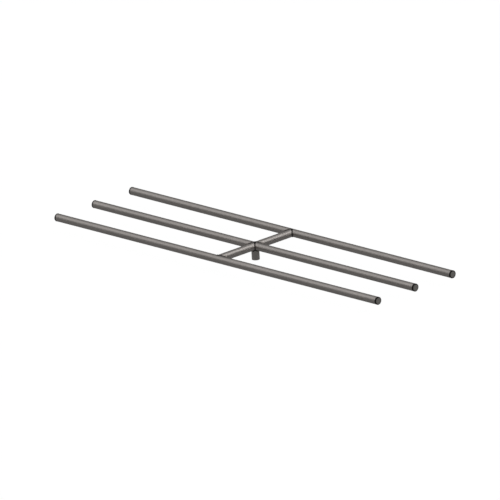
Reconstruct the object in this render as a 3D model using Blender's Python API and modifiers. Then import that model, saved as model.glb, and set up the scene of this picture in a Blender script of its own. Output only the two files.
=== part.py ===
"""Three-rail linear gas burner, welded from one size of stainless pipe.

Three parallel rails, joined at their middles by two crossbars, carry flame ports on their undersides.
An upright inlet nipple, with a gas orifice inside, meets the crossing from below.

Frame: +X along the rails, +Y from the front rail to the rear rail, +Z up. The origin is the centre of
the lower end of the inlet nipple, where the burner screws on to the gas line. Lengths are in metres.
"""

import math

import bmesh
import bpy
from mathutils import Matrix, Vector

# ---------------------------------------------------------------- driving dimensions
PIPE_OD = 0.02134  # NPS 1/2 pipe
PIPE_WALL = 0.00277  # schedule 40
RAIL_SPACING = 0.1378  # rail centre to rail centre
OVERALL_LENGTH = 1.2192  # over the end caps
AXIS_HEIGHT = 0.0372  # pipe axes above the nipple's lower end
GAP = 0.0003  # clearance kept between neighbouring solids

FACETS = 24  # sides of every turned solid and saddle
BORE_SIDES = 16  # sides of the windows and round bores
PORT_SIDES = 6
SMOOTH_ANGLE = math.radians(32)  # steeper edges are shaded sharp

GROOVE_DEPTH = 0.0011  # depth of the weld groove, cut at 45 degrees
CAP_FLANGE = 0.0015  # thickness of a cap's disc
CAP_LAND = CAP_FLANGE - GROOVE_DEPTH  # width of the disc's cylindrical rim
SPIGOT_LENGTH = 0.0040
CAP_CROWN = 0.0004  # how far a cap weld stands proud of the pipe
CAP_CROWN_SLOPE = 0.0007  # width over which the crown rises, at each edge

WINDOW_DIA = 0.0127  # gas windows drilled through the pipe walls
CENTRE_WINDOW_LENGTH = 0.034  # passes both walls of the centre rail
SIDE_WINDOW_LENGTH = 0.020  # from an outer rail's axis through one wall
INLET_OVERSHOOT = 0.004  # how far the inlet drill reaches below the pipes

PORT_DIA = 0.0020  # flame ports
PORT_PITCH = 0.03175
PORTS_PER_HALF = 18
PORT_ANGLE = math.radians(30)  # from straight down, on alternate sides

BEAD_RADIUS = 0.0017
BEAD_STEPS = 32  # points along a closed bead
BEAD_SINK = 0.0005  # depth of a bead's centre below the pipe surface, on top of a tee
BEAD_STANDOFF = 0.0004  # distance of its centre outside the surface, in a corner

NIPPLE_BORE_DIA = 0.0147  # heavier pipe of the same outside size, bored for its thread
NIPPLE_CHAMFER = 0.0005
THREAD_PITCH = 0.0254 / 18  # internal 3/8-18 taper pipe thread
THREAD_TURNS = 8
THREAD_MOUTH_DIA = 0.0171  # root diameter at the nipple's end
THREAD_DEPTH = 0.0009
THREAD_TAPER = 1 / 16  # loss of diameter per unit of height
THREAD_LEAD_IN = 0.0006  # countersink below the first crest

JET_RADIUS = 0.0070  # gas orifice
JET_LENGTH = 0.0085
JET_Z = 0.0138  # lower face of the orifice above the nipple's end
JET_CHAMFER = 0.0005
JET_NOSE_HEIGHT = 0.0025  # conical nose on top
JET_NOSE_TOP_RADIUS = 0.0042
JET_NOSE_BASE_RADIUS = 0.0056
JET_BORE_DIA = 0.0054
JET_HEX_AF = 0.0080  # hexagonal socket across its flats
JET_HEX_DEPTH = 0.004

# Cutter sizes that only have to be large enough.
SADDLE_LENGTH = 0.08
NIPPLE_SADDLE_DROP = 0.001  # start of the nipple's saddle below its lower end
JET_BORE_CUTTER_LENGTH = 0.03
HALF_SPACE_SIZE = 0.05

R_OUT = PIPE_OD / 2
R_IN = PIPE_OD / 2 - PIPE_WALL
FLAT = math.cos(math.pi / FACETS)  # apothem of a facetted circle of radius 1
R_SADDLE = R_OUT + GAP / FLAT  # leaves GAP between parallel facets
PIPE_LENGTH = OVERALL_LENGTH - 2 * (CAP_FLANGE + GAP)

SIDES = {"front": -1, "rear": 1}  # direction along Y
RAIL_Y = {"front": -RAIL_SPACING, "centre": 0.0, "rear": RAIL_SPACING}
ENDS = {"left": -1, "right": 1}  # direction along X

UPRIGHT = (0, 0, 0)
ALONG_X = (0, math.pi / 2, 0)
ALONG_Y = (math.pi / 2, 0, 0)
CROSSING = (0, 0, AXIS_HEIGHT)  # where the centre rail's axis meets the crossbars'

# ---------------------------------------------------------------- clean scene, collections
for old in list(bpy.data.objects):
    bpy.data.objects.remove(old, do_unlink=True)

parts = bpy.data.collections.new("three_rail_burner")
cutters = bpy.data.collections.new("cutters")
bpy.context.scene.collection.children.link(parts)
bpy.context.scene.collection.children.link(cutters)

frame = bpy.data.objects.new("burner_frame", None)
frame.empty_display_size = 0.05
parts.objects.link(frame)


# ---------------------------------------------------------------- materials
def metal(name, colour, roughness):
    mat = bpy.data.materials.new(name)
    mat.use_nodes = True
    shader = mat.node_tree.nodes["Principled BSDF"]
    shader.inputs["Base Color"].default_value = (*colour, 1.0)
    shader.inputs["Roughness"].default_value = roughness
    shader.inputs["Metallic"].default_value = 1.0
    mat.diffuse_color = (*colour, 1.0)
    return mat


STEEL = metal("pipe_stainless", colour=(0.27, 0.26, 0.245), roughness=0.38)
NIPPLE_STEEL = metal("nipple_stainless", colour=(0.23, 0.22, 0.21), roughness=0.45)
CAP_STEEL = metal("cap_stainless", colour=(0.22, 0.215, 0.205), roughness=0.5)
WELD_STEEL = metal("weld_bead", colour=(0.05, 0.046, 0.042), roughness=0.55)
BRASS = metal("jet_brass", colour=(0.62, 0.43, 0.16), roughness=0.35)


# ---------------------------------------------------------------- helpers
def mesh_from(bm, name):
    mesh = bpy.data.meshes.new(name)
    bm.to_mesh(mesh)
    bm.free()
    return mesh


def add_part(name, mesh, mat):
    obj = bpy.data.objects.new(name, mesh)
    parts.objects.link(obj)
    mesh.materials.append(mat)
    obj.parent = frame
    return obj


def add_cutter(name, mesh):
    obj = bpy.data.objects.new(name, mesh)
    cutters.objects.link(obj)
    obj.hide_render = True
    obj.display_type = "WIRE"
    return obj


def cut(obj, *tools):
    """Cuts one or several tools out of obj. Several go in one step, from a collection of their own."""
    mod = obj.modifiers.new("cut", "BOOLEAN")
    mod.operation = "DIFFERENCE"
    mod.solver = "EXACT"
    if len(tools) == 1:
        mod.object = tools[0]
        return
    group = bpy.data.collections.new(f"{obj.name}_cuts")
    cutters.children.link(group)
    for tool in tools:
        group.objects.link(tool)
    mod.operand_type = "COLLECTION"
    mod.collection = group


def turned(name, profile, mat, closed=False):
    """A profile of (radius, height) points turned about Z. It starts half a facet round, so flats
    face the axes. The points run down the outer side; closed joins the last to the first, for a
    ring or a pipe."""
    bm = bmesh.new()
    start = math.pi / FACETS
    verts = [
        bm.verts.new((radius * math.cos(start), radius * math.sin(start), z))
        for radius, z in profile
    ]
    for upper, lower in zip(verts, verts[1:]):
        bm.edges.new((upper, lower))
    if closed:
        bm.edges.new((verts[-1], verts[0]))
    obj = add_part(name, mesh_from(bm, name), mat)
    screw = obj.modifiers.new("turn", "SCREW")
    screw.axis = "Z"
    screw.angle = math.tau
    screw.steps = FACETS
    screw.render_steps = FACETS
    screw.use_merge_vertices = True
    screw.merge_threshold = 0.00001
    screw.use_smooth_shade = True
    return obj


def add_cylinder(bm, radius, length, sides, matrix):
    bmesh.ops.create_cone(
        bm,
        cap_ends=True,
        segments=sides,
        radius1=radius,
        radius2=radius,
        depth=length,
        matrix=matrix,
    )


def cylinder_cutter(name, radius, length, location, rotation=UPRIGHT, sides=FACETS):
    bm = bmesh.new()
    add_cylinder(bm, radius, length, sides, Matrix.Rotation(math.pi / sides, 4, "Z"))
    obj = add_cutter(name, mesh_from(bm, name))
    obj.rotation_euler = rotation
    obj.location = location
    return obj


# ---------------------------------------------------------------- shared cutters
# Solid outlines of the pipes, GAP larger, that saddle-cut whatever meets them.
rail_saddles = {
    name: cylinder_cutter(
        f"saddle_{name}_rail", R_SADDLE, SADDLE_LENGTH, (0, y, AXIS_HEIGHT), ALONG_X
    )
    for name, y in RAIL_Y.items()
}
saddle_crossbars = cylinder_cutter(
    "saddle_crossbars", R_SADDLE, 2 * RAIL_SPACING, CROSSING, ALONG_Y
)
saddle_nipple = cylinder_cutter(
    "saddle_nipple", R_SADDLE, AXIS_HEIGHT, (0, 0, AXIS_HEIGHT / 2 - NIPPLE_SADDLE_DROP)
)

# Gas passages through the pipe walls.
inlet_hole = cylinder_cutter(
    "inlet_hole",
    WINDOW_DIA / 2,
    R_OUT + INLET_OVERSHOOT,
    (0, 0, AXIS_HEIGHT - (R_OUT + INLET_OVERSHOOT) / 2),
    sides=BORE_SIDES,
)
centre_windows = cylinder_cutter(
    "centre_windows",
    WINDOW_DIA / 2,
    CENTRE_WINDOW_LENGTH,
    CROSSING,
    ALONG_Y,
    BORE_SIDES,
)


def side_window(side_name):
    """A round hole through one wall of an outer rail, facing the crossbar."""
    y = RAIL_Y[side_name] - SIDES[side_name] * SIDE_WINDOW_LENGTH / 2
    return cylinder_cutter(
        f"{side_name}_window",
        WINDOW_DIA / 2,
        SIDE_WINDOW_LENGTH,
        (0, y, AXIS_HEIGHT),
        ALONG_Y,
        BORE_SIDES,
    )


def half_space(side_name):
    """A block on one side of the centre rail's axis that reaches half a gap past it, to part the
    two weld runs that meet there."""
    bm = bmesh.new()
    bmesh.ops.create_cube(bm, size=HALF_SPACE_SIZE)
    name = f"{side_name}_half"
    obj = add_cutter(name, mesh_from(bm, name))
    obj.location = (0, SIDES[side_name] * (HALF_SPACE_SIZE / 2 - GAP / 2), AXIS_HEIGHT)
    return obj


# ---------------------------------------------------------------- rails and crossbars
def port_drill(name, y_rail):
    """Every flame port of one rail: drills on both sides of straight down, alternating along it."""
    bm = bmesh.new()
    mid_wall = R_OUT - PIPE_WALL / 2
    for end in (-1, 1):
        for k in range(1, PORTS_PER_HALF + 1):
            angle = (end if k % 2 else -end) * PORT_ANGLE
            direction = Vector((0, math.sin(angle), -math.cos(angle)))
            on_axis = Vector((end * k * PORT_PITCH, y_rail, AXIS_HEIGHT))
            place = Matrix.Translation(on_axis + direction * mid_wall)
            turn = Matrix.Rotation(math.pi + angle, 4, "X")
            add_cylinder(bm, PORT_DIA / 2, PIPE_WALL * 2, PORT_SIDES, place @ turn)
    return add_cutter(name, mesh_from(bm, name))


def rail(name, y_rail, *windows):
    """A long pipe with a weld groove chamfered round each end."""
    top = PIPE_LENGTH / 2
    profile = [
        (R_OUT, top - GROOVE_DEPTH),
        (R_OUT, -top + GROOVE_DEPTH),
        (R_OUT - GROOVE_DEPTH, -top),
        (R_IN, -top),
        (R_IN, top),
        (R_OUT - GROOVE_DEPTH, top),
    ]
    obj = turned(name, profile, STEEL, closed=True)
    obj.rotation_euler = ALONG_X
    obj.location = (0, y_rail, AXIS_HEIGHT)
    cut(obj, *windows, port_drill(f"ports_{name}", y_rail))


def crossbar(side_name):
    """A short pipe from the centre rail's axis to an outer one's, saddle-cut at both ends."""
    top = RAIL_SPACING / 2
    profile = [(R_OUT, top), (R_OUT, -top), (R_IN, -top), (R_IN, top)]
    obj = turned(f"{side_name}_crossbar", profile, STEEL, closed=True)
    obj.rotation_euler = ALONG_Y
    obj.location = (0, SIDES[side_name] * RAIL_SPACING / 2, AXIS_HEIGHT)
    cut(obj, rail_saddles["centre"], rail_saddles[side_name], inlet_hole)


# ---------------------------------------------------------------- inlet nipple
def thread_profile():
    """Crests and roots of the internal taper thread, from the lead-in up to its last turn."""
    points = []
    for i in range(THREAD_TURNS):
        rise = (i + 0.5) * THREAD_PITCH
        root = THREAD_MOUTH_DIA / 2 - rise * THREAD_TAPER / 2
        points.append((root - THREAD_DEPTH, i * THREAD_PITCH + THREAD_LEAD_IN))
        points.append((root, rise + THREAD_LEAD_IN))
    return points


def inlet_nipple():
    """The upright pipe, threaded inside its lower end and saddle-cut under the crossing."""
    profile = [
        (R_OUT, AXIS_HEIGHT),
        (R_OUT, NIPPLE_CHAMFER),
        (R_OUT - NIPPLE_CHAMFER, 0.0),
        (THREAD_MOUTH_DIA / 2 - THREAD_DEPTH + THREAD_LEAD_IN, 0.0),
        *thread_profile(),
        (NIPPLE_BORE_DIA / 2, THREAD_TURNS * THREAD_PITCH + THREAD_LEAD_IN),
        (NIPPLE_BORE_DIA / 2, AXIS_HEIGHT),
    ]
    obj = turned("inlet_nipple", profile, NIPPLE_STEEL, closed=True)
    cut(obj, rail_saddles["centre"], saddle_crossbars)


# ---------------------------------------------------------------- gas orifice
def gas_orifice():
    """A brass plug inside the nipple: conical nose on top, hexagonal socket below, bored through."""
    top = JET_Z + JET_LENGTH
    shoulder = top - JET_NOSE_HEIGHT
    profile = [
        (0.0, top),
        (JET_NOSE_TOP_RADIUS, top),
        (JET_NOSE_BASE_RADIUS, shoulder),
        (JET_RADIUS, shoulder),
        (JET_RADIUS, JET_Z + JET_CHAMFER),
        (JET_RADIUS - JET_CHAMFER, JET_Z),
        (0.0, JET_Z),
    ]
    obj = turned("gas_orifice", profile, BRASS)
    lower_face = (0, 0, JET_Z)
    bore = cylinder_cutter(
        "jet_bore", JET_BORE_DIA / 2, JET_BORE_CUTTER_LENGTH, lower_face, sides=BORE_SIDES
    )
    hex_radius = JET_HEX_AF / 2 / math.cos(math.pi / 6)
    socket = cylinder_cutter("jet_socket", hex_radius, 2 * JET_HEX_DEPTH, lower_face, sides=6)
    cut(obj, bore, socket)


# ---------------------------------------------------------------- end caps and their welds
def place_at_end(obj, y_rail, end):
    """Puts the origin at the centre of a cap's outer face, with local +Z pointing out of the pipe."""
    obj.rotation_euler = (0, end * math.pi / 2, 0)
    obj.location = (end * OVERALL_LENGTH / 2, y_rail, AXIS_HEIGHT)


def end_cap(name, y_rail, end):
    """A disc with a spigot that locates it in the pipe's bore."""
    spigot_radius = R_IN - 2 * GAP
    profile = [
        (0.0, 0.0),
        (R_OUT, 0.0),
        (R_OUT, -CAP_LAND),
        (R_OUT - GROOVE_DEPTH, -CAP_FLANGE),
        (spigot_radius, -CAP_FLANGE),
        (spigot_radius, -CAP_FLANGE - SPIGOT_LENGTH),
        (0.0, -CAP_FLANGE - SPIGOT_LENGTH),
    ]
    place_at_end(turned(name, profile, CAP_STEEL), y_rail, end)


def cap_weld(name, y_rail, end):
    """The ring of filler in the V groove between a cap and its pipe, slightly crowned."""
    root = R_OUT - GROOVE_DEPTH + 2 * GAP
    crown = R_OUT + CAP_CROWN
    outer = -CAP_LAND - GAP
    inner = -(CAP_FLANGE + GAP + GROOVE_DEPTH) + GAP  # GAP clear of the pipe's groove edge
    profile = [
        (R_OUT, outer),
        (crown, outer - CAP_CROWN_SLOPE),
        (crown, inner + CAP_CROWN_SLOPE),
        (R_OUT, inner),
        (root, (outer + inner) / 2),
    ]
    place_at_end(turned(name, profile, WELD_STEEL, closed=True), y_rail, end)


# ---------------------------------------------------------------- joint welds
def bead_angles():
    return [math.tau * i / BEAD_STEPS for i in range(BEAD_STEPS)]


def tee_path(y_rail, towards):
    """Where two equal pipes meet at a right angle: a V seen from above, its point on the rail's
    axis. The bead's centre sinks into the pipes at the point and moves out into the corner at
    the sides."""
    points = []
    for angle in bead_angles():
        sine = math.sin(angle)
        radius = R_OUT - BEAD_SINK + (BEAD_SINK + BEAD_STANDOFF) * sine**2
        y = y_rail + towards * radius * abs(sine)
        points.append((radius * sine, y, AXIS_HEIGHT + radius * math.cos(angle)))
    return points


def inlet_path():
    """The scalloped line where the nipple's wall meets the undersides of both crossing pipes."""
    points = []
    radius = R_OUT + BEAD_STANDOFF
    for angle in bead_angles():
        x = radius * math.cos(angle)
        y = radius * math.sin(angle)
        points.append((x, y, AXIS_HEIGHT - max(abs(x), abs(y))))
    return points


def bead_mesh(name, points, radius):
    """A closed run of weld: a poly curve with a round bevel, made a mesh so that it can be cut."""
    curve = bpy.data.curves.new(name + "_path", "CURVE")
    curve.dimensions = "3D"
    curve.bevel_depth = radius
    curve.bevel_resolution = 2
    spline = curve.splines.new("POLY")
    spline.points.add(len(points) - 1)
    for point, position in zip(spline.points, points):
        point.co = (*position, 1.0)
    spline.use_cyclic_u = True
    run = bpy.data.objects.new(name + "_path", curve)
    cutters.objects.link(run)
    bpy.context.view_layer.update()
    graph = bpy.context.evaluated_depsgraph_get()
    mesh = bpy.data.meshes.new_from_object(run.evaluated_get(graph))
    mesh.name = name
    bm = bmesh.new()
    bm.from_mesh(mesh)
    bmesh.ops.remove_doubles(bm, verts=bm.verts, dist=0.00001)
    bmesh.ops.recalc_face_normals(bm, faces=bm.faces)
    bm.to_mesh(mesh)
    bm.free()
    mesh.materials.clear()
    bpy.data.objects.remove(run, do_unlink=True)
    return mesh


def weld(name, path, *tools):
    obj = add_part(name, bead_mesh(name, path, BEAD_RADIUS), WELD_STEEL)
    cut(obj, *tools)


def joint_welds():
    for side_name, side in SIDES.items():
        path = tee_path(RAIL_Y[side_name], -side)
        weld(f"{side_name}_tee_weld", path, rail_saddles[side_name], saddle_crossbars)

    # Two runs at the crossing, whose points meet on top of the centre rail.
    # The nipple interrupts both underneath.
    pipes = (rail_saddles["centre"], saddle_crossbars, saddle_nipple)
    name = "inlet_clearance"
    clearance = add_cutter(name, bead_mesh(name, inlet_path(), BEAD_RADIUS + GAP))
    halves = {side: half_space(side_name) for side_name, side in SIDES.items()}
    for side_name, side in SIDES.items():
        path = tee_path(0.0, side)
        weld(f"cross_{side_name}_weld", path, *pipes, clearance, halves[-side])

    weld("inlet_weld", inlet_path(), *pipes)


# ---------------------------------------------------------------- assembly
rail("front_rail", RAIL_Y["front"], side_window("front"))
rail("centre_rail", RAIL_Y["centre"], centre_windows, inlet_hole)
rail("rear_rail", RAIL_Y["rear"], side_window("rear"))
for side_name in SIDES:
    crossbar(side_name)
inlet_nipple()
gas_orifice()
for rail_name, y in RAIL_Y.items():
    for end_name, end in ENDS.items():
        end_cap(f"end_cap_{rail_name}_{end_name}", y, end)
        cap_weld(f"cap_weld_{rail_name}_{end_name}", y, end)
joint_welds()

for obj in parts.objects:
    if obj.type == "MESH":
        obj.data.shade_smooth()
        obj.data.set_sharp_from_angle(angle=SMOOTH_ANGLE)
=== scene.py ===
"""Looks of a welded three-rail pipe burner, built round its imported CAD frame.

Three rails lie along X, at the front (-Y), centre and rear (+Y). Two crossbars along Y join
them at x = 0, and a threaded nipple with a brass jet hangs below the centre crossing. Its
lower end is at z = 0. Metres, +Z up.
"""

import math
from contextlib import contextmanager

import bmesh
import bpy
from mathutils import Matrix, Vector


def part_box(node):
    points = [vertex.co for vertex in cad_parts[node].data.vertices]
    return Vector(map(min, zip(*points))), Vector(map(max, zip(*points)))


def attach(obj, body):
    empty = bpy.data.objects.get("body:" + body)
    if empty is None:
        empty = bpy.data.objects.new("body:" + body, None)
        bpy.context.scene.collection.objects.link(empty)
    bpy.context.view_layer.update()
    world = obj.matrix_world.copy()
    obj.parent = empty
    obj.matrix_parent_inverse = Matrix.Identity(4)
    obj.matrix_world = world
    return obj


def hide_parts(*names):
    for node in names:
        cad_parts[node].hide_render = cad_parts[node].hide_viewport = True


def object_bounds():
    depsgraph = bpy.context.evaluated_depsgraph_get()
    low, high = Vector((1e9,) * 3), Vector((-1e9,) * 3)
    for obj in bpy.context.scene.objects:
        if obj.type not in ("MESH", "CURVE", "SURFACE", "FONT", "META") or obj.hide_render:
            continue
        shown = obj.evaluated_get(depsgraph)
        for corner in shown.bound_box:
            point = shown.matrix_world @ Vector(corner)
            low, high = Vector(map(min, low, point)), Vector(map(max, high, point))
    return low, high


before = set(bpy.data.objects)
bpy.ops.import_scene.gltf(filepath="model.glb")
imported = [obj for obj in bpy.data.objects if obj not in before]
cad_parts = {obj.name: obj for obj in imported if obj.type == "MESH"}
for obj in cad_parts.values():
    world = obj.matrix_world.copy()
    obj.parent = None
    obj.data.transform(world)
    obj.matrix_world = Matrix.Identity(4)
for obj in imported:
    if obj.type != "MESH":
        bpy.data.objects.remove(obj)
cad_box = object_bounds()

# ---------------------------------------------------------------- sizes, read from the frame
TAU = math.tau
CAD_SIDES = 24  # sides of the CAD pipes
rail_low, rail_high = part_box("front_rail")
AXIS_Z = (rail_low.z + rail_high.z) / 2  # height of every pipe axis
RADIUS = (rail_high.z - rail_low.z) / 2 / math.cos(math.pi / CAD_SIDES)  # pipe outside
SPACING = -(rail_low.y + rail_high.y) / 2  # between rail axes
HALF_LENGTH = cad_box[1].x  # to the outer face of a cap
PIPE_HALF = rail_high.x  # a pipe ends here, behind its cap
WALL = 0.00277
BORE = RADIUS - WALL  # pipe inside radius
SADDLE_RADIUS = RADIUS + 0.00004  # saddle cuts, with a hair of clearance

ROUND_SEGMENTS = 120
CROSSING = Vector((0, 0, AXIS_Z))

# rail: (y of its axis, directions in y of the crossbars that meet it)
RAILS = {"front": (-SPACING, (1,)), "centre": (0.0, (-1, 1)), "rear": (SPACING, (-1,))}
CROSSBARS = {"front": -1, "rear": 1}  # side of the centre rail, in y

# weld beads
BEAD = 0.00135  # half width in the crotch of two pipes
BEAD_TOP = 0.0023  # half width over the top and bottom, where the pipes are level
WIDENING_POWER = 7  # how late a bead widens towards the top and bottom
TOE_RADIUS = RADIUS - 0.00003  # bead edges sink slightly into the pipes

# end caps
FLANGE = 0.0015  # thickness of the disc
LAND = 0.0004  # width of its rim
GROOVE = 0.0011  # bevel on the pipe's end
CAP_BEAD_HALF = 0.00125
CAP_BEAD_SETBACK = LAND + CAP_BEAD_HALF  # from the cap's face to the middle of its bead

# flame ports
PORT_PITCH = 0.03175
PORTS_PER_HALF = 18
PORT_ANGLE = math.radians(30)  # lean from straight down
PORT_RADIUS = 0.0010
COUNTERSINK_RADIUS = 0.00188
PORT_SIDES = 28

# openings between the pipes' bores
WINDOW_RADIUS = 0.00635
WINDOW_NEAR, WINDOW_FAR = 0.003, 0.016  # reach of the cutters from a rail's axis
CROSSBAR_WINDOW_NEAR = 0.001


# ---------------------------------------------------------------- mesh helpers
@contextmanager
def edited(mesh):
    """Opens a mesh as a bmesh and writes it back with its normals made consistent."""
    bm = bmesh.new()
    bm.from_mesh(mesh)
    yield bm
    bmesh.ops.recalc_face_normals(bm, faces=bm.faces)
    bm.to_mesh(mesh)
    bm.free()


def fill_holes(bm):
    open_edges = [edge for edge in bm.edges if edge.is_boundary]
    if open_edges:
        bmesh.ops.holes_fill(bm, edges=open_edges, sides=0)


def link_object(name, data):
    obj = bpy.data.objects.new(name, data)
    bpy.context.scene.collection.objects.link(obj)
    return obj


def mesh_object(name, verts, faces, merge=1e-7, degenerate=1e-8, **attributes):
    """A cleaned mesh as an object. attributes are float values, one for each vertex."""
    mesh = bpy.data.meshes.new(name)
    mesh.from_pydata([tuple(vert) for vert in verts], [], faces)
    mesh.update()
    for label, values in attributes.items():
        mesh.attributes.new(label, "FLOAT", "POINT").data.foreach_set("value", values)
    with edited(mesh) as bm:
        bmesh.ops.remove_doubles(bm, verts=bm.verts, dist=merge)
        bmesh.ops.dissolve_degenerate(bm, edges=bm.edges, dist=degenerate)
    return link_object(name, mesh)


def grid_faces(rows, columns, close_rows=True, close_columns=True):
    """Quads over rows of vertices. A closed direction joins its last to its first."""
    faces = []
    for i in range(rows if close_rows else rows - 1):
        j = (i + 1) % rows
        for k in range(columns if close_columns else columns - 1):
            m = (k + 1) % columns
            faces.append((i * columns + k, j * columns + k, j * columns + m, i * columns + m))
    return faces


def frame_of(axis):
    """Unit vectors (quarter turn, angle zero, along) of an axis."""
    if axis == "X":
        return Vector((0, 1, 0)), Vector((0, 0, 1)), Vector((1, 0, 0))
    if axis == "Y":
        return Vector((1, 0, 0)), Vector((0, 0, 1)), Vector((0, 1, 0))
    return Vector((0, 1, 0)), Vector((1, 0, 0)), Vector((0, 0, 1))


def lathe(name, axis, centre, profile, segments=ROUND_SEGMENTS, closed=True):
    """Turns (distance along the axis, radius) points about the axis through centre."""
    quarter, zero, along = frame_of(axis)
    verts = []
    for i in range(segments):
        angle = TAU * (i + 0.5) / segments
        spoke = quarter * math.sin(angle) + zero * math.cos(angle)
        for distance, radius in profile:
            verts.append(Vector(centre) + along * distance + spoke * radius)
    faces = grid_faces(segments, len(profile), close_columns=closed)
    return mesh_object(name, verts, faces)


def cylinder_tool(name, axis, centre, radius, start, end, segments=64):
    """A solid cylinder to cut with, from start to end along the axis."""
    obj = lathe(name, axis, centre, [(start, radius), (end, radius)], segments, closed=False)
    with edited(obj.data) as bm:
        fill_holes(bm)
    return obj


def boolean_cut(obj, *cutters):
    """Cuts the cutters out of an object and deletes them."""
    for cutter in cutters:
        modifier = obj.modifiers.new("cut", "BOOLEAN")
        modifier.operation = "DIFFERENCE"
        modifier.solver = "EXACT"
        modifier.object = cutter
    bpy.context.view_layer.update()
    graph = bpy.context.evaluated_depsgraph_get()
    mesh = bpy.data.meshes.new_from_object(obj.evaluated_get(graph))
    mesh.name = obj.name
    uncut = obj.data
    obj.modifiers.clear()
    obj.data = mesh
    bpy.data.meshes.remove(uncut)
    for cutter in cutters:
        data = cutter.data
        bpy.data.objects.remove(cutter, do_unlink=True)
        bpy.data.meshes.remove(data)


def smooth(obj, angle=30):
    obj.data.shade_smooth()
    obj.data.set_sharp_from_angle(angle=math.radians(angle))


def true_round(obj, axis, centre, radii, angle=30):
    """Smooth shading, with true cylinder normals on walls of these radii about the axis."""
    smooth(obj, angle)
    mesh = obj.data
    along = frame_of(axis)[2]
    centre = Vector(centre)
    wall_facing = 0.995  # least agreement of a wall's normal with its radius
    tolerance = 2.5e-5

    def from_axis(point):
        offset = point - centre
        return offset - along * offset.dot(along)

    normals = [Vector((0, 0, 0))] * len(mesh.loops)  # zero keeps the automatic normal
    for poly in mesh.polygons:
        middle = from_axis(poly.center)
        if middle.length < 1e-6:
            continue
        facing = poly.normal.dot(middle.normalized())
        if abs(facing) < wall_facing:
            continue
        spokes = [
            from_axis(mesh.vertices[mesh.loops[k].vertex_index].co) for k in poly.loop_indices
        ]
        if not any(all(abs(s.length - radius) < tolerance for s in spokes) for radius in radii):
            continue
        sign = 1.0 if facing > 0 else -1.0
        for k, spoke in zip(poly.loop_indices, spokes):
            normals[k] = spoke.normalized() * sign
    mesh.normals_split_custom_set([tuple(normal) for normal in normals])


def saddle_reach(offset):
    """Distance from a pipe's axis to its saddle cut, at an offset to the side of the axis."""
    return math.sqrt(SADDLE_RADIUS**2 - offset**2)


# ---------------------------------------------------------------- material helpers
NOISE_SPREAD = (0.3, 0.7)  # where most of a noise's values lie


def rgb(red, green, blue):
    return (red, green, blue, 1.0)


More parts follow.
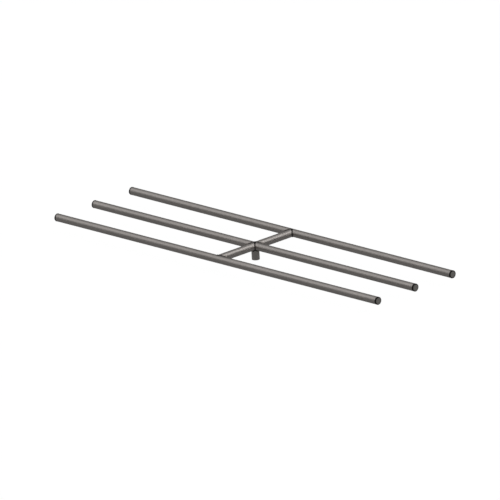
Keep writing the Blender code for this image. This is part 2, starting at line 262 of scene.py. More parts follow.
class Net:
    """A small writer for node trees: most calls add one node and return its output."""

    def __init__(self, tree):
        self.tree = tree
        tree.nodes.clear()

    def node(self, kind, **settings):
        node = self.tree.nodes.new(kind)
        for key, value in settings.items():
            setattr(node, key, value)
        return node

    def put(self, socket, value):
        """Links a socket or sets a value. None leaves the input alone."""
        if isinstance(value, bpy.types.NodeSocket):
            self.tree.links.new(value, socket)
        elif value is not None:
            socket.default_value = value

    def output(self, kind, shader):
        self.put(self.node(kind).inputs[0], shader)

    def position(self):
        return self.node("ShaderNodeTexCoord").outputs["Object"]

    def attribute(self, name):
        return self.node("ShaderNodeAttribute", attribute_name=name).outputs["Fac"]

    def split(self, vector):
        node = self.node("ShaderNodeSeparateXYZ")
        self.put(node.inputs[0], vector)
        return node.outputs[0], node.outputs[1], node.outputs[2]

    def vector(self, x, y):
        node = self.node("ShaderNodeCombineXYZ")
        self.put(node.inputs[0], x)
        self.put(node.inputs[1], y)
        return node.outputs[0]

    def math(self, operation, *values):
        node = self.node("ShaderNodeMath", operation=operation)
        for socket, value in zip(node.inputs, values):
            self.put(socket, value)
        return node.outputs[0]

    def add(self, a, b):
        return self.math("ADD", a, b)

    def subtract(self, a, b):
        return self.math("SUBTRACT", a, b)

    def multiply(self, a, b):
        return self.math("MULTIPLY", a, b)

    def divide(self, a, b):
        return self.math("DIVIDE", a, b)

    def absolute(self, a):
        return self.math("ABSOLUTE", a)

    def hypot(self, a, b):
        return self.math("SQRT", self.add(self.multiply(a, a), self.multiply(b, b)))

    def stretched(self, vector, axis, factor):
        """The vector with one component scaled, which draws a noise out along that axis."""
        node = self.node("ShaderNodeVectorMath", operation="MULTIPLY")
        self.put(node.inputs[0], vector)
        self.put(node.inputs[1], tuple(factor if letter == axis else 1 for letter in "XYZ"))
        return node.outputs[0]

    def noise(self, vector, scale, detail, rough):
        node = self.node("ShaderNodeTexNoise")
        self.put(node.inputs["Vector"], vector)
        self.put(node.inputs["Scale"], scale)
        self.put(node.inputs["Detail"], detail)
        self.put(node.inputs["Roughness"], rough)
        return node.outputs[0]

    def remap(self, value, to, over=NOISE_SPREAD, smoothstep=False):
        """Turns the range `over` into the range `to`."""
        node = self.node("ShaderNodeMapRange")
        if smoothstep:
            node.interpolation_type = "SMOOTHSTEP"
        self.put(node.inputs["Value"], value)
        for key, limit in zip(("From Min", "From Max", "To Min", "To Max"), (*over, *to)):
            self.put(node.inputs[key], limit)
        return node.outputs[0]

    def mix(self, factor, a, b, blend="MIX"):
        node = self.node("ShaderNodeMix", data_type="RGBA", blend_type=blend)
        self.put(node.inputs[0], factor)
        self.put(node.inputs[6], a)
        self.put(node.inputs[7], b)
        return node.outputs[2]

    def shaded(self, colour, level):
        """A fixed colour multiplied by a brightness."""
        grey = self.node("ShaderNodeCombineColor")
        for k in range(3):
            self.put(grey.inputs[k], level)
        return self.mix(1.0, rgb(*colour), grey.outputs[0], "MULTIPLY")

    def ramp(self, value, stops):
        node = self.node("ShaderNodeValToRGB")
        elements = node.color_ramp.elements
        while len(elements) > 1:
            elements.remove(elements[-1])
        elements[0].position, elements[0].color = stops[0][0], rgb(*stops[0][1])
        for position, colour in stops[1:]:
            elements.new(position).color = rgb(*colour)
        self.put(node.inputs[0], value)
        return node.outputs[0]

    def bump(self, height, strength, distance, normal=None):
        node = self.node("ShaderNodeBump")
        self.put(node.inputs["Height"], height)
        self.put(node.inputs["Strength"], strength)
        self.put(node.inputs["Distance"], distance)
        self.put(node.inputs["Normal"], normal)
        return node.outputs[0]

    def surface(self, colour, rough, metallic, normal):
        shader = self.node("ShaderNodeBsdfPrincipled")
        self.put(shader.inputs["Base Color"], colour)
        self.put(shader.inputs["Roughness"], rough)
        self.put(shader.inputs["Metallic"], metallic)
        self.put(shader.inputs["Normal"], normal)
        self.output("ShaderNodeOutputMaterial", shader.outputs[0])
        return shader


def new_material(name):
    material = bpy.data.materials.new(name)
    material.use_nodes = True
    return material, Net(material.node_tree)


def dress(obj, material, slot, *cad_nodes):
    """Gives a piece its material, hides the CAD nodes it stands in for and hangs it on the root
    body.
    """
    obj.data.materials.clear()
    obj.data.materials.append(material)
    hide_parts(*cad_nodes)
    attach(obj, "root")


# ---------------------------------------------------------------- distances from the welds, stretched in the crotches for painted shade
CROTCH_SHADE_REACH = 4.8  # how much further the dark scale is stretched in the crotches, as painted shade between the pipes
# stretch of the painted crotch shade, by height
TOP_REACH = {"over": (0.97, 0.50), "to": (0.0, CROTCH_SHADE_REACH)}  # by height in pipe radii
BOTTOM_REACH = {"over": (-1.0, -0.2), "to": (0.5, CROTCH_SHADE_REACH)}
LEAST_REACH = 0.45  # spread of the heat tint where no painted shade is added


def nowhere(net, x):
    return net.multiply(x, 0.0)


def right_side(net, x):
    return net.math("GREATER_THAN", x, 0.0)


# which side of each joint gets no painted crotch shade: (rail, side the crossbar is on) -> test
NO_PAINTED_SHADE = {
    ("front", 1): nowhere,
    ("centre", -1): right_side,
    ("centre", 1): nowhere,
    ("rear", -1): right_side,
}


def tee_distance(net, place, rail, towards):
    """Distance from the joint of a crossbar and a rail, in the planes |x| = |y - rail y|.

    It grows more slowly down in the crotches, where the dark scale is stretched further as
    painted shade between the pipes, except on the sides that get none.
    """
    x, y, z = place
    along = net.multiply(net.subtract(y, RAILS[rail][0]), towards)
    sideways = net.absolute(x)
    height = net.divide(net.subtract(z, AXIS_Z), RADIUS)
    slant = net.math("SQRT", net.add(1.0, net.multiply(height, height)))
    ahead = net.divide(net.absolute(net.subtract(sideways, along)), slant)
    behind = net.hypot(sideways, along)
    is_behind = net.math("LESS_THAN", along, 0.0)
    distance = net.add(
        net.multiply(is_behind, behind),
        net.multiply(net.subtract(1.0, is_behind), ahead),
    )
    widening = net.math("POWER", net.absolute(height), float(WIDENING_POWER))
    distance = net.subtract(distance, net.multiply(widening, BEAD_TOP - BEAD))
    reach = net.math(
        "MINIMUM", net.remap(height, **TOP_REACH), net.remap(height, **BOTTOM_REACH)
    )
    # painted shade in the crotches: off on the listed sides and behind the joint
    painted_shade = net.subtract(1.0, NO_PAINTED_SHADE[rail, towards](net, x))
    painted_shade = net.multiply(painted_shade, net.subtract(1.0, is_behind))
    reach = net.add(LEAST_REACH, net.multiply(reach, painted_shade))
    return net.add(BEAD, net.divide(net.subtract(distance, BEAD), reach))


def rail_weld(rail):
    end_margin = 0.0001

    def distance(net, position):
        place = net.split(position)
        nearest = None
        for towards in RAILS[rail][1]:
            tee = tee_distance(net, place, rail, towards)
            nearest = tee if nearest is None else net.math("MINIMUM", nearest, tee)
        ends = net.subtract(HALF_LENGTH - CAP_BEAD_SETBACK, net.absolute(place[0]))
        ends = net.math("MAXIMUM", net.add(ends, end_margin), 0.0)
        return net.math("MINIMUM", nearest, ends)

    return distance


def crossbar_weld(key, side):
    def distance(net, position):
        place = net.split(position)
        outer = tee_distance(net, place, key, -side)
        inner = tee_distance(net, place, "centre", side)
        return net.math("MINIMUM", outer, inner)

    return distance


def nipple_weld(net, position):
    x, y, z = net.split(position)
    edge = net.math("MAXIMUM", net.absolute(x), net.absolute(y))
    below = net.subtract(net.subtract(AXIS_Z, edge), z)
    return net.math("MAXIMUM", below, 0.0)


# ---------------------------------------------------------------- materials
STEEL = (0.530, 0.4965, 0.4725)  # base colour of the bare stainless
NIPPLE_STEEL = (0.520, 0.492, 0.472)
HEAT_WIDTH = 0.0025  # of the heat colours beside a bead


def heat_and_shade_stops(tint):
    """(place from the bead's edge outwards, colour), from black scale to bare steel; also
    painted shade in the crotches.
    """
    red, green, blue = tint
    return [
        (0.0, (0.018, 0.018, 0.019)),
        (0.36, (0.028, 0.027, 0.030)),
        (0.50, (0.072, 0.067, 0.071)),
        (0.63, (0.19, 0.157, 0.13)),
        (0.77, (0.37, 0.325, 0.272)),
        (0.89, (red * 0.96, green * 0.93, blue * 0.89)),
        (1.0, tint),
    ]


def steel(name, axis, weld, tint=STEEL, rough=0.42):
    """Mill-finish stainless: drawing lines along its axis, uneven sheen, heat tint by the
    welds, painted shade in the crotches.

    weld(net, position) returns the distance from the nearest weld, in metres, stretched in
    the crotches for the painted shade.
    """
    material, net = new_material(name)
    position = net.position()
    grain_at = net.stretched(position, axis, 0.045)
    fine = net.noise(grain_at, scale=2600.0, detail=3.0, rough=0.6)
    streak = net.noise(grain_at, scale=420.0, detail=3.0, rough=0.55)
    broad_at = net.stretched(position, axis, 0.25)
    broad = net.noise(broad_at, scale=38.0, detail=3.0, rough=0.55)
    handled = net.noise(position, scale=95.0, detail=5.0, rough=0.62)
    scratch_at = net.stretched(position, axis, 0.35)
    scratch = net.noise(scratch_at, scale=1500.0, detail=1.0, rough=0.4)

    shade = net.add(
        net.remap(streak, to=(-0.045, 0.045)),
        net.remap(broad, to=(-0.035, 0.035)),
    )
    shade = net.add(shade, net.remap(fine, to=(-0.03, 0.03)))
    shade = net.add(shade, net.remap(scratch, over=(0.70, 0.80), to=(0.0, 0.05)))
    colour = net.shaded(tint, net.add(1.0, shade))
    stain = net.remap(handled, over=(0.56, 0.74), to=(0.0, 0.10))
    stain_colour = rgb(tint[0] * 0.72, tint[1] * 0.69, tint[2] * 0.66)
    colour = net.mix(stain, colour, stain_colour)
    roughness = net.add(rough, net.remap(streak, to=(-0.035, 0.035)))
    roughness = net.add(roughness, net.remap(handled, over=(0.35, 0.7), to=(-0.02, 0.05)))

    ragged = net.remap(handled, to=(-0.0004, 0.0004))
    # heat colours: real tint beside the beads, painted shade where the distance is stretched in
    # the crotches
    distance = net.add(weld(net, position), ragged)
    near = net.remap(distance, over=(BEAD - 0.0002, BEAD + HEAT_WIDTH), to=(0.0, 1.0))
    heat_and_shade = net.ramp(near, heat_and_shade_stops(tint))
    fade = (BEAD + 0.0008, BEAD + HEAT_WIDTH)
    amount = net.remap(distance, over=fade, to=(0.96, 0.0), smoothstep=True)
    colour = net.mix(amount, colour, heat_and_shade)
    heat_roughness = 0.10
    roughness = net.add(roughness, net.multiply(amount, heat_roughness))

    height = net.add(net.multiply(fine, 0.5), net.multiply(streak, 0.5))  # equal parts
    bump = net.bump(height, strength=0.35, distance=0.00004)
    bump = net.bump(handled, strength=0.12, distance=0.00015, normal=bump)
    net.surface(colour, roughness, metallic=1.0, normal=bump)
    return material


SCALE_STOPS = [  # (patch noise, colour of the black scale)
    (0.30, (0.0075, 0.0078, 0.0090)),
    (0.48, (0.0100, 0.0092, 0.0086)),
    (0.62, (0.0150, 0.0125, 0.0105)),
    (0.75, (0.0110, 0.0104, 0.0110)),
]


def weld_material(name):
    """Weld metal under black heat scale, thinner and a little browner on its crests."""
    material, net = new_material(name)
    position = net.position()
    patch = net.noise(position, scale=260.0, detail=4.0, rough=0.6)
    grit = net.noise(position, scale=2400.0, detail=3.0, rough=0.6)
    ripple = net.attribute("ripple")
    across = net.attribute("across")
    colour = net.ramp(patch, SCALE_STOPS)
    crest = net.remap(ripple, over=(0.62, 1.0), to=(0.0, 0.6), smoothstep=True)
    colour = net.mix(crest, colour, rgb(0.040, 0.037, 0.034))
    toe = net.remap(across, over=(0.72, 1.0), to=(0.0, 0.7), smoothstep=True)
    colour = net.mix(toe, colour, rgb(0.006, 0.006, 0.0065))
    base_roughness = 0.44
    rough = net.add(base_roughness, net.remap(grit, to=(-0.07, 0.09)))
    bump = net.bump(grit, strength=0.35, distance=0.00006)
    shader = net.surface(colour, rough, metallic=0.0, normal=bump)
    shader.inputs["Specular IOR Level"].default_value = 0.32
    return material


def cap_material(name):
    """Stainless disc, its face dressed in fine turned rings round the pipe's axis."""
    face_depth = 0.0003  # how far behind the outer face the rings reach
    ring_drift = 0.02  # makes the rings slightly uneven round the disc
    base_roughness = 0.43
    material, net = new_material(name)
    position = net.position()
    x, y, z = net.split(position)
    # distance from the nearest rail axis: the rails repeat at their spacing
    nearest_rail = net.multiply(net.math("ROUND", net.divide(y, SPACING)), SPACING)
    radius = net.hypot(net.subtract(y, nearest_rail), net.subtract(z, AXIS_Z))
    ring_at = net.vector(radius, net.multiply(net.add(y, z), ring_drift))
    rings = net.noise(ring_at, scale=3200.0, detail=3.0, rough=0.6)
    broad = net.noise(position, scale=140.0, detail=4.0, rough=0.6)
    face = net.math("GREATER_THAN", net.absolute(x), HALF_LENGTH - face_depth)
    shade = net.add(1.0, net.multiply(face, net.remap(rings, to=(-0.07, 0.07))))
    shade = net.add(shade, net.remap(broad, to=(-0.05, 0.05)))
    colour = net.shaded((0.520, 0.500, 0.468), shade)

    reach = net.add(radius, net.remap(broad, to=(-0.00018, 0.00018)))
    straw_band = (RADIUS - 0.0038, RADIUS - 0.0022)
    straw = net.remap(reach, over=straw_band, to=(0.0, 0.40), smoothstep=True)
    colour = net.mix(straw, colour, rgb(0.40, 0.345, 0.285))
    black_band = (RADIUS - 0.0029, RADIUS - 0.0012)
    black = net.remap(reach, over=black_band, to=(0.0, 0.95), smoothstep=True)
    colour = net.mix(black, colour, rgb(0.014, 0.0135, 0.014))
    rough = net.add(base_roughness, net.remap(broad, to=(-0.04, 0.05)))
    bump = net.bump(net.multiply(face, rings), strength=0.4, distance=0.00004)
    net.surface(colour, rough, metallic=1.0, normal=bump)
    return material


def brass_material(name):
    """Machined brass with turning lines about the vertical axis and a little tarnish."""
    clean, tarnished = rgb(0.72, 0.50, 0.20), rgb(0.36, 0.22, 0.09)
    base_roughness = 0.30
    material, net = new_material(name)
    position = net.position()
    x, y, z = net.split(position)
    line_at = net.vector(net.hypot(x, y), z)
    lines = net.noise(line_at, scale=3800.0, detail=2.0, rough=0.5)
    tarnish = net.noise(position, scale=420.0, detail=4.0, rough=0.6)
    amount = net.remap(tarnish, over=(0.42, 0.72), to=(0.0, 0.6))
    colour = net.mix(amount, clean, tarnished)
    rough = net.add(base_roughness, net.remap(lines, to=(-0.06, 0.08)))
    bump = net.bump(lines, strength=0.35, distance=0.00004)
    net.surface(colour, rough, metallic=1.0, normal=bump)
    return material


# ---------------------------------------------------------------- rails
def drills(y_rail):
    """The flame ports' drills: straight, countersunk, leaning alternately to front and rear."""
    profile = [  # (distance from the pipe's axis, drill radius)
        (BORE - 0.0016, PORT_RADIUS),
        (RADIUS - 0.00028, PORT_RADIUS),
        (RADIUS + 0.0006, COUNTERSINK_RADIUS),
    ]
    along = Vector((1, 0, 0))
    verts, faces = [], []
    for half in (-1, 1):
        for k in range(1, PORTS_PER_HALF + 1):
            lean = (half if k % 2 else -half) * PORT_ANGLE
            out = Vector((0, math.sin(lean), -math.cos(lean)))
            across = Vector((0, math.cos(lean), math.sin(lean)))
            centre = Vector((half * k * PORT_PITCH, y_rail, AXIS_Z))
            base = len(verts)
            for distance, radius in profile:
                for i in range(PORT_SIDES):
                    turn = TAU * i / PORT_SIDES
                    spoke = along * math.cos(turn) + across * math.sin(turn)
                    verts.append(centre + out * distance + spoke * radius)
            for ring in range(len(profile) - 1):
                low = base + ring * PORT_SIDES
                high = base + (ring + 1) * PORT_SIDES
                for i in range(PORT_SIDES):
                    j = (i + 1) % PORT_SIDES
                    faces.append((low + i, low + j, high + j, high + i))
            faces.append(tuple(base + i for i in reversed(range(PORT_SIDES))))
            last = base + (len(profile) - 1) * PORT_SIDES
            faces.append(tuple(last + i for i in range(PORT_SIDES)))
    return mesh_object("drills", verts, faces)


def rail_pipe(name, y_rail, sides):
    """A pipe along X with bevelled ends, flame ports and windows to its neighbours."""
    centre = (0, y_rail, AXIS_Z)
    profile = [
        (-PIPE_HALF + GROOVE, RADIUS),
        (-PIPE_HALF, RADIUS - GROOVE),
        (-PIPE_HALF, BORE),
        (PIPE_HALF, BORE),
        (PIPE_HALF, RADIUS - GROOVE),
        (PIPE_HALF - GROOVE, RADIUS),
    ]
    obj = lathe(name, "X", centre, profile)
    tools = [drills(y_rail)]
    for towards in sides:
        start, end = WINDOW_NEAR * towards, WINDOW_FAR * towards
        tools.append(cylinder_tool("window", "Y", centre, WINDOW_RADIUS, start, end))
    if y_rail == 0.0:
        start, end = AXIS_Z - WINDOW_FAR, AXIS_Z - WINDOW_NEAR
        tools.append(cylinder_tool("inlet_window", "Z", (0, 0, 0), WINDOW_RADIUS, start, end))
    boolean_cut(obj, *tools)
    true_round(obj, "X", centre, (RADIUS, BORE))
    return obj


for key, (rail_y, sides) in RAILS.items():
    piece = rail_pipe(f"{key}_rail_pipe", rail_y, sides)
    metal = steel(f"steel_{key}_rail", "X", rail_weld(key))
    dress(piece, metal, "pipe_stainless", f"{key}_rail")


# ---------------------------------------------------------------- crossbars
def crossbar_pipe(name, side):
    """A pipe along Y whose ends are cut to the saddle shape of the rails they meet."""
    verts = []
    for i in range(ROUND_SEGMENTS):
        angle = TAU * (i + 0.5) / ROUND_SEGMENTS
        sine, cosine = math.sin(angle), math.cos(angle)
        for radius, at_rail in ((RADIUS, 0), (RADIUS, 1), (BORE, 1), (BORE, 0)):
            reach = side * saddle_reach(radius * cosine)
            y = side * SPACING - reach if at_rail else reach
            verts.append((radius * sine, y, AXIS_Z + radius * cosine))
    obj = mesh_object(name, verts, grid_faces(ROUND_SEGMENTS, 4))
    start, end = AXIS_Z - WINDOW_FAR, AXIS_Z - CROSSBAR_WINDOW_NEAR
    boolean_cut(obj, cylinder_tool("inlet", "Z", (0, 0, 0), WINDOW_RADIUS, start, end))
    true_round(obj, "Y", CROSSING, (RADIUS, BORE))
    return obj


for key, side in CROSSBARS.items():
    piece = crossbar_pipe(f"{key}_crossbar_pipe", side)
    metal = steel(f"steel_{key}_crossbar", "Y", crossbar_weld(key, side))
    dress(piece, metal, "pipe_stainless", f"{key}_crossbar")


# ---------------------------------------------------------------- weld beads
UNEVENNESS = 0.06  # of a bead's width and height
RIPPLE_LAG = 0.42  # how far a ripple trails at the bead's edges, in pitches
BEAD_ROOT = 0.0009  # depth of a bead's buried edge under the joint
TEE_STEP = math.radians(1.05)
RING_COUNT = 360  # sections of a full ring bead
LOW = math.radians(133)  # the crossing's beads run down to the nipple's own bead
CROTCH_CROWN, TOP_CROWN = 0.00028, 0.00092  # bead height in the crotch and on top
INLET_CROWN = 0.00036
CAP_CROWN = 0.00026
TEE_CORNER_WIDTH = 1.22  # toe distance at a bead's corner, in half widths
INLET_CORNER_WIDTH = 0.9
INLET_CORNER_DROP = 1.2247
INLET_CORNER = math.radians(5.4)  # the lower toe gathers to a point this near a corner


def wobble(distance, seed):
    """A smooth, repeatable unevenness between about -1 and 1 along a bead."""
    return (
        math.sin(distance * 410.0 + seed * 1.7)
        + 0.6 * math.sin(distance * 930.0 + seed * 2.9)
        + 0.35 * math.sin(distance * 1890.0 + seed * 4.1)
    ) / 1.95


def uneven(distance, seed):
    return 1 + UNEVENNESS * wobble(distance, seed)


def bead_object(name, sections, closed, seed, pitch=0.00165, points=11):
    """A ripple-stacked weld bead lofted over its sections.

    A section is (joint point, toe on one pipe, toe on the other, outward, crown height).
    """
    if closed:
        total = sum((b[0] - a[0]).length for a, b in zip(sections, sections[1:]))
        total += (sections[0][0] - sections[-1][0]).length
        pitch = total / max(1, round(total / pitch))
    verts, ripple, across = [], [], []
    travelled = 0.0
    previous = sections[0][0]
    for joint, toe_a, toe_b, outward, crown in sections:
        travelled += (joint - previous).length
        previous = joint
        for k in range(points):
            fraction = k / (points - 1)
            offset = 2 * fraction - 1
            phase = travelled / pitch + RIPPLE_LAG * offset * offset
            wave = phase - math.floor(phase)
            rise = math.sin(math.pi * wave) ** 0.7
            body = (1 - abs(offset) ** 2.4) ** 0.75
            height = crown * body * (0.66 + 0.38 * rise) * uneven(travelled, seed)
            verts.append(toe_a.lerp(toe_b, fraction) + outward * height)
            ripple.append(rise * body)
            across.append(abs(offset))
        verts.append(joint - outward * BEAD_ROOT)
        ripple.append(0.0)
        across.append(1.0)
    count, columns = len(sections), points + 1
    faces = grid_faces(count, columns, close_rows=closed)
    if not closed:
        faces.append(tuple(range(columns)))
        faces.append(tuple((count - 1) * columns + k for k in reversed(range(columns))))
    return mesh_object(
        name, verts, faces, merge=2e-6, degenerate=1e-7, ripple=ripple, across=across
    )


def on_cylinder(point, axis, centre, radius=TOE_RADIUS):
    """The point moved radially on to a cylinder."""
    direction = frame_of(axis)[2]
    offset = point - centre
    along = direction * offset.dot(direction)
    return centre + along + (offset - along).normalized() * radius


def toe_direction(normal, tangent, towards):
    """Across a bead, within the surface of this normal, on the side of towards."""
    across = normal.cross(tangent).normalized()
    return across if across.dot(towards) > 0 else -across


def tee_sections(y_rail, towards, start, stop, seed):
    """Sections of the bead of a crossbar on a rail, by angle round the pipes from the top."""
    rail_centre = Vector((0, y_rail, AXIS_Z))
    corner = math.asin(BEAD_TOP / math.sqrt(2) / RADIUS)
    count = int(round((stop - start) / TEE_STEP))
    sections = []
    for i in range(count + 1):
        angle = start + (stop - start) * i / count
        sine, cosine = math.sin(angle), math.cos(angle)
        from_corner = min(
            abs(math.remainder(angle, TAU)), abs(math.remainder(angle - math.pi, TAU))
        )
        joint = Vector(
            (RADIUS * sine, y_rail + towards * RADIUS * abs(sine), AXIS_Z + RADIUS * cosine)
        )
        rail_normal = Vector((0, towards * abs(sine), cosine))
        bar_normal = Vector((sine, 0, cosine))
        half = BEAD + (BEAD_TOP - BEAD) * abs(cosine) ** WIDENING_POWER
        half *= uneven(angle * RADIUS * 1.2, seed)
        sign = 1 if sine > 0 else -1
        tangent = Vector((cosine, towards * sign * cosine, -sine)).normalized()
        if from_corner < 1e-6:
            rail_way = Vector((0, -towards, 0)) * TEE_CORNER_WIDTH
        else:
            rail_way = toe_direction(rail_normal, tangent, Vector((sign, 0, 0)))
        rail_toe = on_cylinder(joint + rail_way * half, "X", rail_centre)
        if from_corner < corner:
            top = 1 if cosine > 0 else -1
            bar_toe = Vector(
                (0, y_rail + towards * BEAD_TOP * math.sqrt(2), AXIS_Z + top * RADIUS)
            )
        else:
            bar_way = toe_direction(bar_normal, tangent, Vector((0, towards, 0)))
            bar_toe = joint + bar_way * half
        bar_toe = on_cylinder(bar_toe, "Y", CROSSING)
        outward = (rail_normal + bar_normal).normalized()
        crown = CROTCH_CROWN + (TOP_CROWN - CROTCH_CROWN) * abs(cosine) ** 5
        sections.append((joint, rail_toe, bar_toe, outward, crown))
    return sections


def halved(obj, side):
    """Keeps the part of a bead on its own side of the centre rail's axis, the cut closed."""
    with edited(obj.data) as bm:
        bmesh.ops.bisect_plane(
            bm,
            geom=bm.verts[:] + bm.edges[:] + bm.faces[:],
            dist=1e-7,
            plane_co=(0, side * 0.00001, 0),
            plane_no=(0, -side, 0),
            clear_outer=True,
        )
        fill_holes(bm)


def inlet_sections(seed):
    """Sections of the bead round the top of the nipple, scalloped under the two pipes."""
    sections = []
    for i in range(RING_COUNT):
        angle = TAU * i / RING_COUNT
        cosine, sine = math.cos(angle), math.sin(angle)
        height = max(abs(cosine), abs(sine))
        joint = Vector((RADIUS * cosine, RADIUS * sine, AXIS_Z - RADIUS * height))
        wall = Vector((cosine, sine, 0))
        under_rail = abs(cosine) > abs(sine)
        diagonal = math.radians(45) + math.radians(90) * math.floor(angle / math.radians(90))
        from_corner = abs(angle - diagonal)
        half = BEAD * uneven(angle * RADIUS, seed)
        if under_rail:
            pipe = Vector((0, sine, -abs(cosine)))
            slope = sine * math.copysign(1, cosine)
        else:
            pipe = Vector((cosine, 0, -abs(sine)))
            slope = -cosine * math.copysign(1, sine)
        tangent = Vector((-sine, cosine, slope)).normalized()
        if from_corner < 1e-6:
            pipe = Vector((cosine, sine, -1.0)).normalized()
            pipe_toe = joint + wall.normalized() * half * INLET_CORNER_WIDTH
        else:
            pipe_toe = joint + toe_direction(pipe, tangent, wall) * half
            pipe_toe = on_cylinder(pipe_toe, "X" if under_rail else "Y", CROSSING)
        if from_corner < INLET_CORNER:
            drop = RADIUS * math.sqrt(0.5) + BEAD * INLET_CORNER_DROP
            x, y = RADIUS * math.cos(diagonal), RADIUS * math.sin(diagonal)
            wall_toe = Vector((x, y, AXIS_Z - drop))
        else:
            wall_toe = joint + toe_direction(wall, tangent, Vector((0, 0, -1))) * half
        wall_toe = on_cylinder(wall_toe, "Z", Vector((0, 0, 0)))
        sections.append((joint, pipe_toe, wall_toe, (pipe + wall).normalized(), INLET_CROWN))
    return sections


WELD = weld_material("weld_scale")


def finish_bead(obj, cad_node):
    smooth(obj, 55)
    dress(obj, WELD, "weld_bead", cad_node)


for key, seed in (("front", 1.0), ("rear", 2.0)):
    rail_y, (towards,) = RAILS[key]
    rows = tee_sections(rail_y, towards, 0.0, TAU, seed)[:-1]  # the last repeats the first
    finish_bead(bead_object(f"{key}_tee_bead", rows, True, seed), f"{key}_tee_weld")

for key, seed in (("front", 3.0), ("rear", 4.0)):
    side = CROSSBARS[key]
    rows = tee_sections(0.0, side, -LOW, LOW, seed)
    piece = bead_object(f"cross_{key}_bead", rows, False, seed)
    halved(piece, side)
    finish_bead(piece, f"cross_{key}_weld")

INLET_SEED = 5.0
piece = bead_object("inlet_bead", inlet_sections(INLET_SEED), True, INLET_SEED)
finish_bead(piece, "inlet_weld")


# ---------------------------------------------------------------- end caps and cap beads
def end_cap(name, y_rail, end):
    """A disc with a bevelled rim and a spigot inside the pipe."""
    spigot = BORE - 0.0002
    profile = [  # (depth behind the outer face, radius)
        (0.0, 0.0),
        (0.0, RADIUS - 0.00035),
        (0.00010, RADIUS - 0.00010),
        (0.00035, RADIUS),
        (LAND + 0.0001, RADIUS),
        (FLANGE, RADIUS - 0.0010),
        (FLANGE, spigot),
        (FLANGE + 0.0036, spigot),
        (FLANGE + 0.0040, BORE - 0.0006),
        (FLANGE + 0.0040, 0.0),
    ]
    profile = [(-end * depth, radius) for depth, radius in profile]
    obj = lathe(name, "X", (end * HALF_LENGTH, y_rail, AXIS_Z), profile, closed=False)
    smooth(obj, 28)
    return obj


def cap_sections(y_rail, end, seed):
    """Sections of the ring bead behind a cap."""
    joint_radius = RADIUS - 0.0001
    middle = Vector((end * (HALF_LENGTH - CAP_BEAD_SETBACK), y_rail, AXIS_Z))
    sections = []
    for i in range(RING_COUNT):
        angle = TAU * i / RING_COUNT
        spoke = Vector((0, math.sin(angle), math.cos(angle)))
        half = Vector((end * CAP_BEAD_HALF * uneven(angle * RADIUS, seed), 0, 0))
        inner_toe = middle - half + spoke * TOE_RADIUS
        outer_toe = middle + half + spoke * TOE_RADIUS
        joint = middle + spoke * joint_radius
        sections.append((joint, inner_toe, outer_toe, spoke, CAP_CROWN))
    return sections


CAP = cap_material("cap_steel")
cap_seed = 6.0
for key, (rail_y, _) in RAILS.items():
    for side_name, end in (("left", -1), ("right", 1)):
        cap = end_cap(f"{key}_{side_name}_cap", rail_y, end)
        dress(cap, CAP, "cap_stainless", f"end_cap_{key}_{side_name}")
        rows = cap_sections(rail_y, end, cap_seed)
        bead_name = f"{key}_{side_name}_cap_bead"
        bead = bead_object(bead_name, rows, True, cap_seed, pitch=0.0014, points=9)
        finish_bead(bead, f"cap_weld_{key}_{side_name}")
        cap_seed += 1


# ---------------------------------------------------------------- inlet nipple
def nipple(name):
    """Saddle-cut to both pipes at the top, chamfered below, a helical taper thread inside."""
    pitch = 0.0254 / 18  # 18 threads to the inch
    turns = 8
    columns = 144
    rows_per_turn = 12
    mouth, depth, bore = 0.00855, 0.0009, 0.00735  # thread root radius, its depth, plain bore
    taper = 32  # the radius loses 1 in this much
    flat, flank = 0.08, 0.84  # parts of half a thread: its crest, its slope
    lead_in = 0.0086  # radius of the 45 degree cone at the mouth
    thread_end = turns * pitch + 0.0006
    fade = 0.0022  # height over which the thread runs out
    row_step = pitch / rows_per_turn
    rows = [i * pitch / rows_per_turn for i in range(int(thread_end / row_step) + 2)]
    chamfer = 0.0005
    outside = [  # (radius, z), below the saddle
        (RADIUS, 0.0125),
        (RADIUS, chamfer),
        (RADIUS - 0.00014, 0.00014),
        (RADIUS - chamfer, 0.0),
    ]
    verts = []
    for i in range(columns):
        angle = TAU * (i + 0.5) / columns
        cosine, sine = math.cos(angle), math.sin(angle)
        top = AXIS_Z - SADDLE_RADIUS * max(abs(cosine), abs(sine))
        column = [(RADIUS, top), *outside]
        for z in rows:
            phase = z / pitch + angle / TAU
            wave = abs(2 * (phase - math.floor(phase)) - 1)
            cut = min(max((wave - flat) / flank, 0.0), 1.0) * depth
            cut *= min(max((thread_end - z) / fade, 0.0), 1.0)
            radius = max(mouth - z / taper - depth + cut, bore)
            column.append((max(radius, lead_in - z), z))
        inner_top = AXIS_Z - max(saddle_reach(bore * sine), saddle_reach(bore * cosine))
        column.append((bore, rows[-1] + 0.0006))
        column.append((bore, inner_top))
        verts.extend((radius * cosine, radius * sine, z) for radius, z in column)
    obj = mesh_object(name, verts, grid_faces(columns, len(column)))
    true_round(obj, "Z", (0, 0, 0), (RADIUS,), 38)
    return obj


piece = nipple("threaded_nipple")
metal = steel("steel_nipple", "Z", nipple_weld, tint=NIPPLE_STEEL, rough=0.43)
dress(piece, metal, "nipple_stainless", "inlet_nipple")


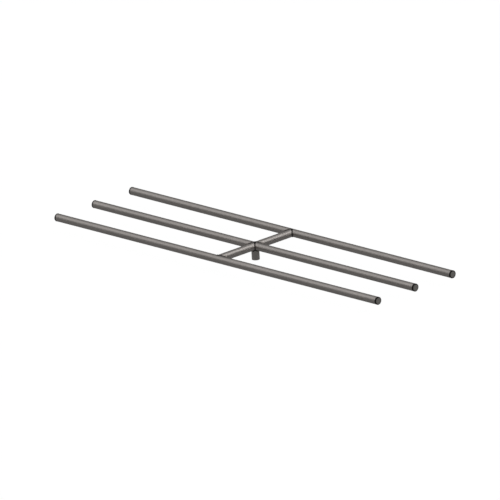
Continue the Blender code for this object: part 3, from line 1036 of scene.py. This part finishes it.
# ---------------------------------------------------------------- gas orifice
def orifice(name):
    """Brass jet inside the nipple: hex socket below, drilled through, stepped nose above."""
    low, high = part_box("gas_orifice")
    base, top = low.z, high.z
    outer = 0.0072
    jet_radius = 0.0027
    socket_radius = 0.0040 / math.cos(math.pi / 6)  # to the corners of the hexagon
    socket_depth = 0.004
    overshoot = 0.001  # of the cutters
    profile = [  # (z, radius)
        (base, 0.0),
        (base, outer - 0.0006),
        (base + 0.0006, outer),
        (top - 0.0028, outer),
        (top - 0.0025, outer - 0.0003),
        (top - 0.0025, 0.0057),
        (top - 0.0004, 0.0045),
        (top, 0.0041),
        (top, 0.0),
    ]
    origin = (0, 0, 0)
    obj = lathe(name, "Z", origin, profile, 96, closed=False)
    start = base - overshoot
    bore = cylinder_tool("jet_bore", "Z", origin, jet_radius, start, top + overshoot, 48)
    socket_top = base + socket_depth
    socket = cylinder_tool("jet_socket", "Z", origin, socket_radius, start, socket_top, 6)
    boolean_cut(obj, bore, socket)
    bevel = obj.modifiers.new("edge", "BEVEL")
    bevel.width = 0.00012
    bevel.segments = 2
    bevel.limit_method = "ANGLE"
    bevel.angle_limit = math.radians(35)
    smooth(obj)
    return obj


dress(orifice("brass_jet"), brass_material("jet_brass"), "jet_brass", "gas_orifice")


# ---------------------------------------------------------------- stage
FLOOR_HALF = 9.0
FLOOR_Z = -0.0006


def floor_material(name):
    """Pale glowing floor, seen through from below."""
    material, net = new_material(name)
    glow = net.node("ShaderNodeEmission")
    glow.inputs["Color"].default_value = rgb(1.0, 1.0, 1.0)
    glow.inputs["Strength"].default_value = 0.985
    matte = net.node("ShaderNodeBsdfDiffuse")
    matte.inputs["Color"].default_value = rgb(0.035, 0.035, 0.036)
    total = net.node("ShaderNodeAddShader")
    net.put(total.inputs[0], glow.outputs[0])
    net.put(total.inputs[1], matte.outputs[0])
    clear = net.node("ShaderNodeBsdfTransparent")
    choose = net.node("ShaderNodeMixShader")
    net.put(choose.inputs[0], net.node("ShaderNodeNewGeometry").outputs["Backfacing"])
    net.put(choose.inputs[1], total.outputs[0])
    net.put(choose.inputs[2], clear.outputs[0])
    net.output("ShaderNodeOutputMaterial", choose.outputs[0])
    return material


floor_mesh = bpy.data.meshes.new("studio_floor")
floor_corners = [
    (x * FLOOR_HALF, y * FLOOR_HALF, FLOOR_Z) for x, y in ((-1, -1), (1, -1), (1, 1), (-1, 1))
]
floor_mesh.from_pydata(floor_corners, [], [(0, 1, 2, 3)])
floor = link_object("studio_floor", floor_mesh)
floor_mesh.materials.append(floor_material("floor_pale"))
floor.visible_glossy = False
floor.visible_diffuse = False
floor.visible_shadow = False


# ---------------------------------------------------------------- light
DOME = [  # (height from straight down 0 to straight up 1, grey level)
    (0.0, 0.189), (0.40, 0.189), (0.42, 0.209), (0.50, 0.138),
    (0.52, 0.083), (0.62, 0.0), (0.74, 0.149), (0.75, 0.181),
    (0.88, 0.286), (0.90, 0.327), (1.0, 0.327),
]

SOFTBOXES = [  # (name, azimuth, elevation, angle it fills, all in degrees, radiance)
    ("rim_softbox", 120, 55, 50, 1.123),
    ("side_softbox", 110, 45, 50, 0.685),
    ("key_softbox", 315, 55, 70, 0.419),
    ("low_fill", 300, 15, 50, 0.176),
]


def studio_world(name):
    """A banded grey dome for lighting and reflections, plain white to the camera."""
    world = bpy.data.worlds.new(name)
    bpy.context.scene.world = world
    world.use_nodes = True
    net = Net(world.node_tree)
    height = net.split(net.node("ShaderNodeTexCoord").outputs["Generated"])[2]
    height = net.remap(height, over=(-1.0, 1.0), to=(0.0, 1.0))
    dome = net.ramp(height, [(place, (grey, grey, grey)) for place, grey in DOME])
    camera_ray = net.node("ShaderNodeLightPath").outputs["Is Camera Ray"]
    sky = net.node("ShaderNodeBackground")
    net.put(sky.inputs[0], net.mix(camera_ray, dome, rgb(1.0, 1.0, 1.0)))
    net.output("ShaderNodeOutputWorld", sky.outputs[0])


def direction(azimuth, elevation):
    """Unit vector at an azimuth from the front (-Y) towards +X and an elevation, in degrees."""
    turn, lift = math.radians(azimuth), math.radians(elevation)
    flat = math.cos(lift)
    return Vector((math.sin(turn) * flat, -math.cos(turn) * flat, math.sin(lift)))


def soft_light(name, azimuth, elevation, spread, radiance):
    """A distant softbox, as a wide sun."""
    data = bpy.data.lights.new(name, "SUN")
    data.angle = math.radians(spread)
    data.energy = math.pi * math.sin(math.radians(spread / 2)) ** 2 * radiance
    light = link_object(name, data)
    light.rotation_mode = "QUATERNION"
    light.rotation_quaternion = direction(azimuth, elevation).to_track_quat("Z", "Y")


studio_world("studio")
for softbox in SOFTBOXES:
    soft_light(*softbox)


# ---------------------------------------------------------------- camera
CAMERA_AZIMUTH, CAMERA_ELEVATION, CAMERA_ROLL = 46.77, 17.885, 3.5  # degrees
CAMERA_DISTANCE = 6.0
VIEW_WIDTH = 1.3231
# how far the crossing of the pipe axes falls right of and above the view's centre
CROSSING_RIGHT, CROSSING_ABOVE = 0.0133368, 0.0109553


def studio_camera(name):
    turn, roll = math.radians(CAMERA_AZIMUTH), math.radians(CAMERA_ROLL)
    back = direction(CAMERA_AZIMUTH, CAMERA_ELEVATION)
    level = Vector((math.cos(turn), math.sin(turn), 0.0))
    plumb = back.cross(level)
    # the view is rolled a little, so that plumb lines lean to the left
    right = level * math.cos(roll) - plumb * math.sin(roll)
    above = level * math.sin(roll) + plumb * math.cos(roll)
    data = bpy.data.cameras.new(name)
    data.type = "ORTHO"
    data.ortho_scale = VIEW_WIDTH
    data.clip_start = 0.05
    data.clip_end = 30.0
    camera = link_object(name, data)
    target = CROSSING - right * CROSSING_RIGHT - above * CROSSING_ABOVE
    camera.location = target + back * CAMERA_DISTANCE
    camera.rotation_mode = "QUATERNION"
    camera.rotation_quaternion = Matrix((right, above, back)).transposed().to_quaternion()
    bpy.context.scene.camera = camera


studio_camera("studio_camera")
bpy.context.scene.view_settings.view_transform = "Standard"

# ---------------------------------------------------------------- update the view layer
bpy.context.view_layer.update()
